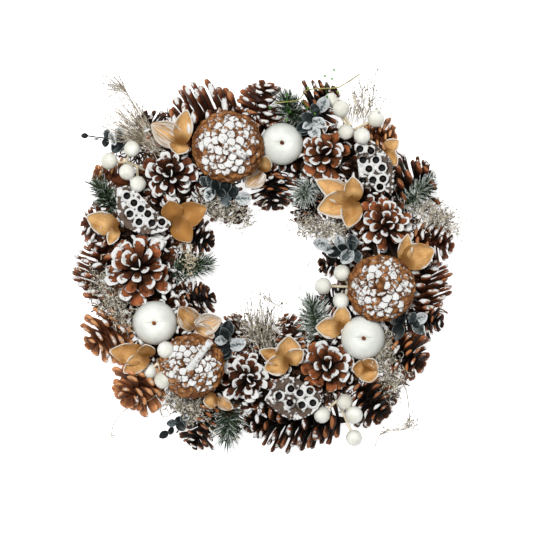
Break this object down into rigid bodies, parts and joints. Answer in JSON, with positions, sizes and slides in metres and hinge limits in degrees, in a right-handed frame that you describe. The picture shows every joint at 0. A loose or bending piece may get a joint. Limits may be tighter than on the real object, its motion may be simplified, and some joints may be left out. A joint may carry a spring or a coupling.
{
  "type": "pinecone wreath",
  "caption": "Round wreath of frosted pinecones, foam apples, lotus pods, wood-petal flowers, berries, pine and eucalyptus on a vine ring, open in the middle.",
  "frame": {"origin": "middle of the wreath's outline seen from the front, on the surface that its back lies on", "axes": "+Z out of the wreath's front, +Y towards its top as it hangs, +X to its right seen from the front"},
  "size_m": [0.3606, 0.3504, 0.0959],
  "materials": {
    "vine": "rough bark",
    "cone_brown": "dull woody scales with white painted tips",
    "closed_cone_tan": "dull woody scales with white painted centres",
    "apple_white": "matt foam with a thin painted skin",
    "lotus_pod": "white wash over dry grey-brown fibre",
    "petal_tan": "dry wood petal with whitened edges",
    "berry_white": "fine glitter over cream",
    "pine_green": "needles frosted white",
    "eucalyptus_grey": "dull grey-blue leaves frosted white"
  },
  "bodies": {
    "root": {"apple_1": "apple_white", "apple_2": "apple_white", "apple_3": "apple_white", "base_ring": "vine", "berry_pick_1": "berry_white", "berry_pick_2": "berry_white", "berry_pick_3": "berry_white", "berry_pick_4": "berry_white", "berry_pick_5": "berry_white", "closed_cone_1": "closed_cone_tan", "closed_cone_2": "closed_cone_tan", "closed_cone_3": "closed_cone_tan", "eucalyptus_1": "eucalyptus_grey", "eucalyptus_2": "eucalyptus_grey", "eucalyptus_3": "eucalyptus_grey", "eucalyptus_4": "eucalyptus_grey", "eucalyptus_5": "eucalyptus_grey", "eucalyptus_6": "eucalyptus_grey", "eucalyptus_7": "eucalyptus_grey", "inner_cones_bottom": "cone_brown", "inner_cones_left": "cone_brown", "inner_cones_right": "cone_brown", "inner_cones_top": "cone_brown", "lotus_pod_1": "lotus_pod", "lotus_pod_2": "lotus_pod", "lotus_pod_3": "lotus_pod", "open_cone_1": "cone_brown", "open_cone_2": "cone_brown", "open_cone_3": "cone_brown", "open_cone_4": "cone_brown", "open_cone_5": "cone_brown", "open_cone_6": "cone_brown", "outer_cones_bottom": "cone_brown", "outer_cones_left": "cone_brown", "outer_cones_lower_left": "cone_brown", "outer_cones_lower_right": "cone_brown", "outer_cones_right": "cone_brown", "outer_cones_top": "cone_brown", "outer_cones_upper_left": "cone_brown", "outer_cones_upper_right": "cone_brown", "pine_sprig_1": "pine_green", "pine_sprig_2": "pine_green", "pine_sprig_3": "pine_green", "pine_sprig_4": "pine_green", "pine_sprig_5": "pine_green", "pine_sprig_6": "pine_green", "pine_sprig_7": "pine_green", "wood_flower_1": "petal_tan", "wood_flower_10": "petal_tan", "wood_flower_11": "petal_tan", "wood_flower_12": "petal_tan", "wood_flower_13": "petal_tan", "wood_flower_2": "petal_tan", "wood_flower_3": "petal_tan", "wood_flower_4": "petal_tan", "wood_flower_5": "petal_tan", "wood_flower_6": "petal_tan", "wood_flower_7": "petal_tan", "wood_flower_8": "petal_tan", "wood_flower_9": "petal_tan"}
  },
  "joints": []
}
